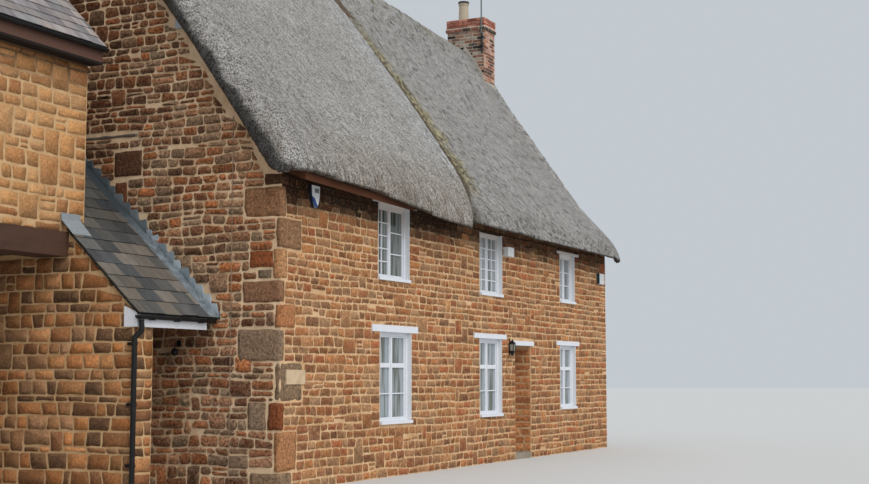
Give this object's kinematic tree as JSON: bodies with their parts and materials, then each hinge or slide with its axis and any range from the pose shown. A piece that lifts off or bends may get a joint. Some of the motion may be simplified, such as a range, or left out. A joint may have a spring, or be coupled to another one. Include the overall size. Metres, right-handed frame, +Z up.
{
  "type": "thatched stone cottage with porch link and wing",
  "caption": "Two-storey stone cottage with a steep thatched roof, brick chimney, slate-roofed porch link and a slate-roofed wing over a cart passage",
  "frame": {"origin": "bottom centre of the whole building's box, at ground level", "axes": "+Z up, +X along the front wall from the wing to the chimney end, -Y out of the front wall"},
  "size_m": [20.41, 7.96, 10.95],
  "materials": {
    "ironstone": "coursed orange-brown ironstone rubble with light tan joints",
    "dark_ironstone": "dark rust-brown rubble in thin courses with grey-brown quoins",
    "wing_stone": "squared yellow-orange stone with flush sandy joints",
    "floor_stone": "worn pale stone",
    "floor_timber": "plain boards",
    "thatch": "weathered grey straw thatch",
    "brown_timber": "dark brown stained timber",
    "brick": "weathered red-orange brick with lime joints",
    "clay": "cream fired clay, sooted rim",
    "steel": "dull galvanised tube",
    "white_paint": "white gloss paint on timber",
    "window_glass": "old clear glass",
    "door_timber": "plain planked timber",
    "white_plastic": "white moulded plastic, bare",
    "plaque_stone": "smooth sawn stone, bare",
    "black_metal": "black paint",
    "slate": "blue-grey roofing slates",
    "lead": "weathered lead sheet"
  },
  "bodies": {
    "root": {"front_wall_left": "ironstone", "front_wall_right": "ironstone", "front_wall_over_door": "ironstone", "back_wall": "ironstone", "near_gable_wall": "dark_ironstone", "far_gable_wall": "dark_ironstone", "wing_right_wall": "wing_stone", "wing_left_wall": "wing_stone", "wing_front_wall": "wing_stone", "wing_back_wall": "wing_stone", "ground_floor": "floor_stone", "doorstep": "floor_stone", "first_floor": "floor_timber", "wing_floor": "floor_timber", "thatch_near": "thatch", "thatch_far": "thatch", "eave_board": "brown_timber", "wing_front_beam": "brown_timber", "wing_back_beam": "brown_timber", "wing_fascia": "brown_timber", "chimney_stack": "brick", "chimney_pot": "clay", "aerial_mast": "steel", "window_lower_1": "white_paint", "window_lower_2": "white_paint", "window_lower_3": "white_paint", "window_upper_1": "white_paint", "window_upper_2": "white_paint", "window_upper_3": "white_paint", "back_window_lower_1": "white_paint", "back_window_lower_2": "white_paint", "back_window_upper_1": "white_paint", "back_window_upper_2": "white_paint", "door_frame": "white_paint", "porch_fascia": "white_paint", "glass_lower_1": "window_glass", "glass_lower_2": "window_glass", "glass_lower_3": "window_glass", "glass_upper_1": "window_glass", "glass_upper_2": "window_glass", "glass_upper_3": "window_glass", "back_glass_lower_1": "window_glass", "back_glass_lower_2": "window_glass", "back_glass_upper_1": "window_glass", "back_glass_upper_2": "window_glass", "door_leaf": "door_timber", "alarm_box_near": "white_plastic", "alarm_box_far": "white_plastic", "vent_box": "white_plastic", "name_plaque": "plaque_stone", "door_lantern": "black_metal", "porch_gutter": "black_metal", "porch_downpipe": "black_metal", "porch_lamp": "black_metal", "wing_gutter": "black_metal", "wing_roof_front": "slate", "wing_roof_back": "slate", "link_roof_front": "slate", "link_roof_back": "slate", "lead_flashing": "lead"}
  },
  "joints": []
}
